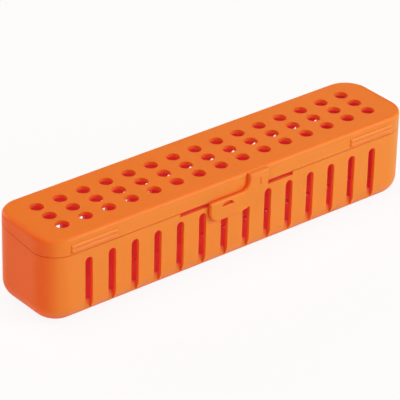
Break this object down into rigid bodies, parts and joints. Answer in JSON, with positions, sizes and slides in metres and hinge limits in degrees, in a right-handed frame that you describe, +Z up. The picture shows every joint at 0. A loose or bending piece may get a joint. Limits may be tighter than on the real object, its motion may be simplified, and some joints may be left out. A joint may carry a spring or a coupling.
{
  "type": "sterilization container",
  "caption": "Long narrow hinged box of orange plastic for sterilizing small instruments, with round holes in its lid, notched long walls and a snap latch on the front.",
  "frame": {"origin": "middle of the underside that the box stands on", "axes": "+X along the length, to the right as seen from the latch side; +Y from the latch side towards the hinges; +Z up"},
  "size_m": [0.2032, 0.0508, 0.042],
  "materials": {
    "orange_plastic": "semi-gloss moulded polypropylene",
    "pin_steel": "plain drawn stainless wire"
  },
  "bodies": {
    "base": {"base": "orange_plastic", "hinge_pin_left": "pin_steel", "hinge_pin_right": "pin_steel"},
    "lid": {"lid": "orange_plastic"},
    "latch": {"latch_tongue": "orange_plastic"}
  },
  "joints": [
    {"name": "lid_hinge", "type": "hinge", "parent": "base", "child": "lid", "pos_m": [0, 0.0244, 0.0346], "axis": [-1, 0, 0], "range_deg": [0, 110]},
    {"name": "latch_bend", "type": "hinge", "parent": "lid", "child": "latch", "pos_m": [0.0044, -0.0231, 0.03], "axis": [0, 0, 1], "range_deg": [0, 12], "stiffness_Nm_per_rad": 0.1}
  ]
}
